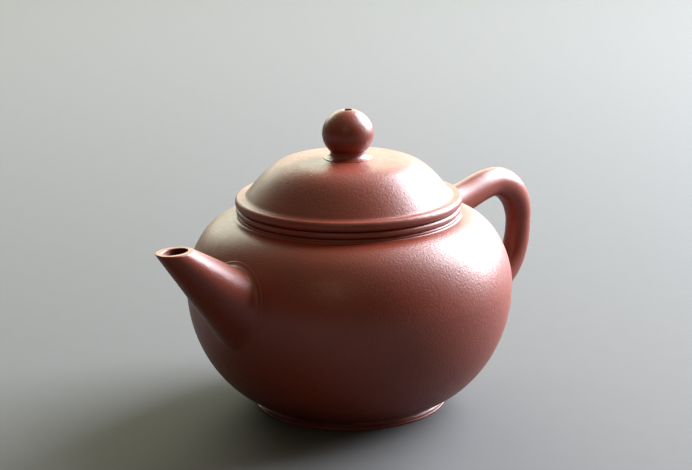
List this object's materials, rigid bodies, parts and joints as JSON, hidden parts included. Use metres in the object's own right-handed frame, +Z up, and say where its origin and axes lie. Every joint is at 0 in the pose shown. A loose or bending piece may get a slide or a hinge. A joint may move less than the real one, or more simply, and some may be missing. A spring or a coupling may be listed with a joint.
{
  "type": "yixing clay teapot",
  "caption": "Small round red-brown clay teapot with straight spout, ear handle and a lift-off domed lid with ball knob.",
  "frame": {"origin": "on the pot's axis, in the plane that the foot ring stands on", "axes": "+X from the axis towards the spout, -X towards the handle, +Z up; the spout and the handle lie in the XZ plane"},
  "size_m": [0.131, 0.082, 0.075],
  "materials": {
    "burnished_clay": "unglazed red-brown zisha clay, hand burnished to a satin sheen with a fine orange-peel grain",
    "inner_clay": "unglazed zisha clay, matt, as left by the tool"
  },
  "bodies": {
    "pot": {"base_disc": "burnished_clay", "belly_front": "burnished_clay", "belly_back": "burnished_clay", "shoulder_disc": "burnished_clay", "foot_ring": "burnished_clay", "neck_ring": "burnished_clay", "mouth_ring": "burnished_clay", "spout": "burnished_clay", "strainer": "inner_clay", "handle": "burnished_clay"},
    "lid_seat": {"lid_collar": "burnished_clay"},
    "lid": {"lid_plate": "burnished_clay", "lid_dome": "burnished_clay", "knob_neck": "burnished_clay", "knob": "burnished_clay"}
  },
  "joints": [
    {"name": "lid_lift", "type": "slide", "parent": "pot", "child": "lid_seat", "axis": [0, 0, 1], "range_m": [0, 0.06]},
    {"name": "lid_turn", "type": "hinge", "parent": "lid_seat", "child": "lid", "pos_m": [0, 0, 0.0512], "axis": [0, 0, 1], "continuous": true}
  ]
}
